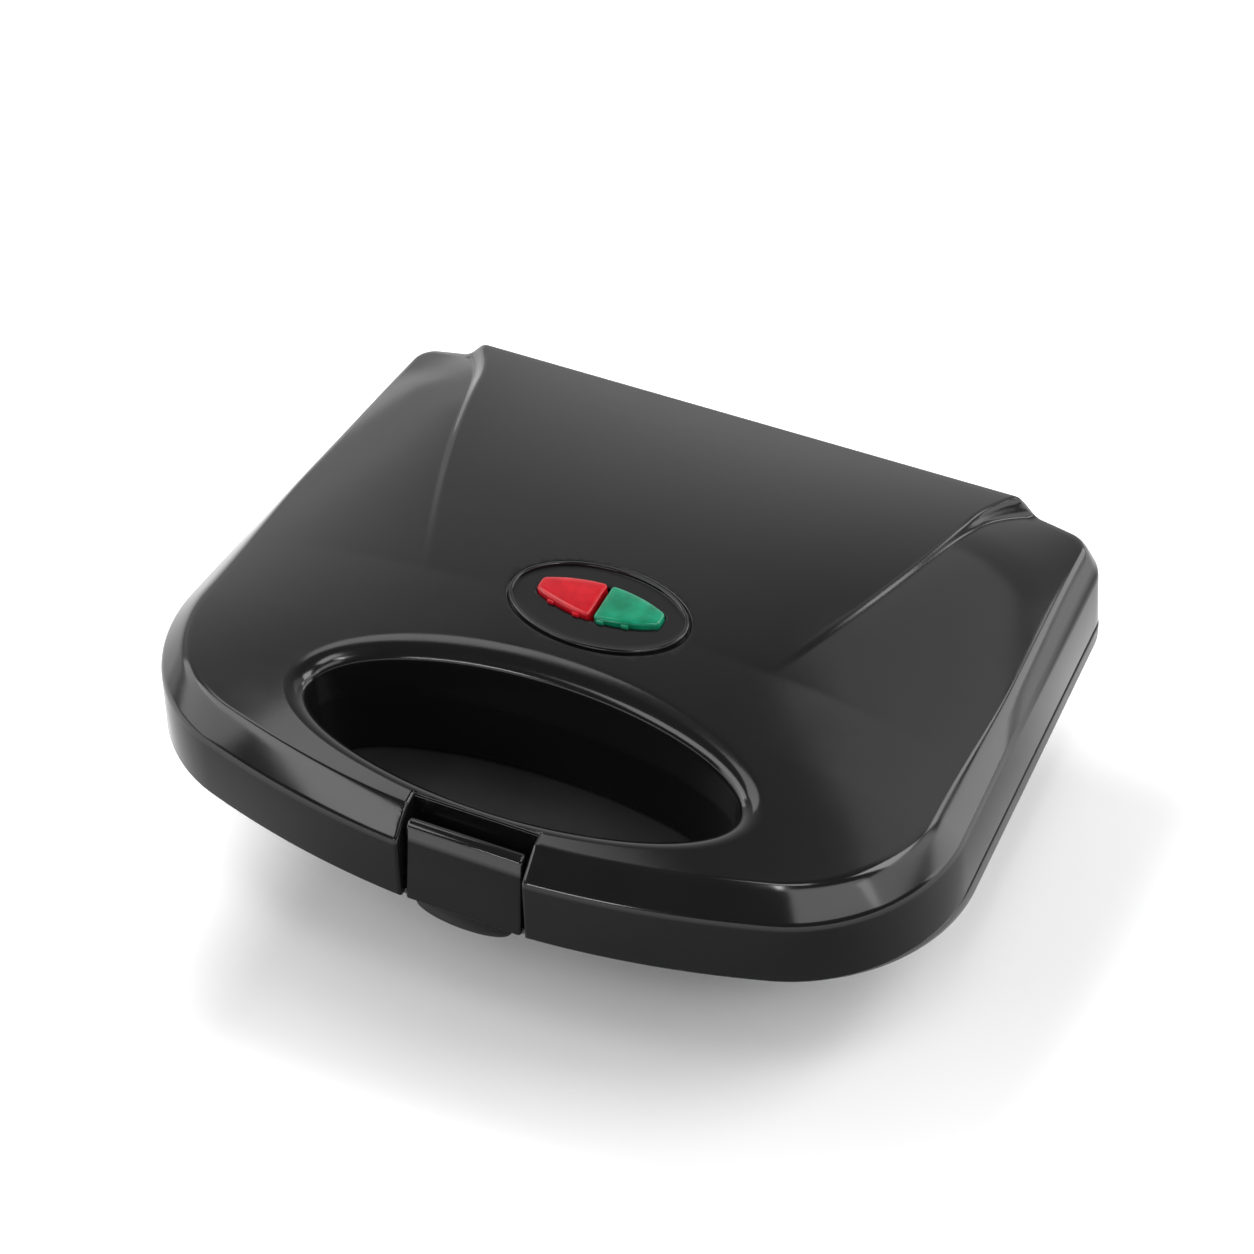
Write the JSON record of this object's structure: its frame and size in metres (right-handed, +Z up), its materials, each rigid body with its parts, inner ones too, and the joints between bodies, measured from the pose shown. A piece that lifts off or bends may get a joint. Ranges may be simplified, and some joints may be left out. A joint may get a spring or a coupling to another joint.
{
  "type": "sandwich toaster",
  "caption": "Closed two-slice sandwich toaster with a hinged domed lid, oval finger opening, front latch, indicator lenses and pocketed cooking plates over a tapered base",
  "frame": {"origin": "centre of the bounding box at the height of the table under the rubber feet", "axes": "+X to the right seen from the front, +Y to the rear hinge, +Z up"},
  "size_m": [0.2398, 0.2, 0.0863],
  "materials": {
    "black_gloss": "gloss",
    "black_matte": "matt",
    "coated_aluminium": "non-stick coated cast aluminium",
    "bare_aluminium": "plain sheet",
    "heater_steel": "oxidised sheath",
    "zinc_steel": "zinc plated",
    "ceramic_white": "unglazed ceramic",
    "natural_plastic": "natural nylon",
    "lamp_glass": "clear",
    "red_lens": "translucent gloss",
    "green_lens": "translucent gloss",
    "black_rubber": "matt"
  },
  "bodies": {
    "base": {"base_shell": "black_gloss", "base_deck": "black_matte", "base_screws": "zinc_steel", "lower_plate": "coated_aluminium", "lower_plate_screws": "zinc_steel", "lower_heater": "heater_steel", "lower_heater_straps": "bare_aluminium", "lower_reflector": "bare_aluminium", "thermal_fuse": "ceramic_white", "fuse_strap": "bare_aluminium", "terminal_block": "natural_plastic", "cord_bush": "black_matte", "hinge_pins": "zinc_steel", "rubber_feet": "black_rubber"},
    "lid": {"lid_shell": "black_gloss", "lid_frame": "black_matte", "lid_frame_screws": "zinc_steel", "upper_plate": "coated_aluminium", "upper_plate_screws": "zinc_steel", "upper_heater": "heater_steel", "upper_heater_straps": "bare_aluminium", "upper_reflector": "bare_aluminium", "thermostat": "ceramic_white", "indicator_bezel": "black_gloss", "red_lens": "red_lens", "green_lens": "green_lens", "lamp_holder": "natural_plastic", "lamp_holder_screws": "zinc_steel", "red_lamp": "lamp_glass", "green_lamp": "lamp_glass", "latch_pin": "zinc_steel"},
    "latch": {"latch": "black_gloss"}
  },
  "joints": [
    {"name": "lid_hinge", "type": "hinge", "parent": "base", "child": "lid", "pos_m": [0, 0.0918, 0.047], "axis": [-1, 0, 0], "range_deg": [0, 105]},
    {"name": "latch_hinge", "type": "hinge", "parent": "lid", "child": "latch", "pos_m": [0, -0.09162, 0.0615], "axis": [-1, 0, 0], "range_deg": [-3, 30]}
  ]
}
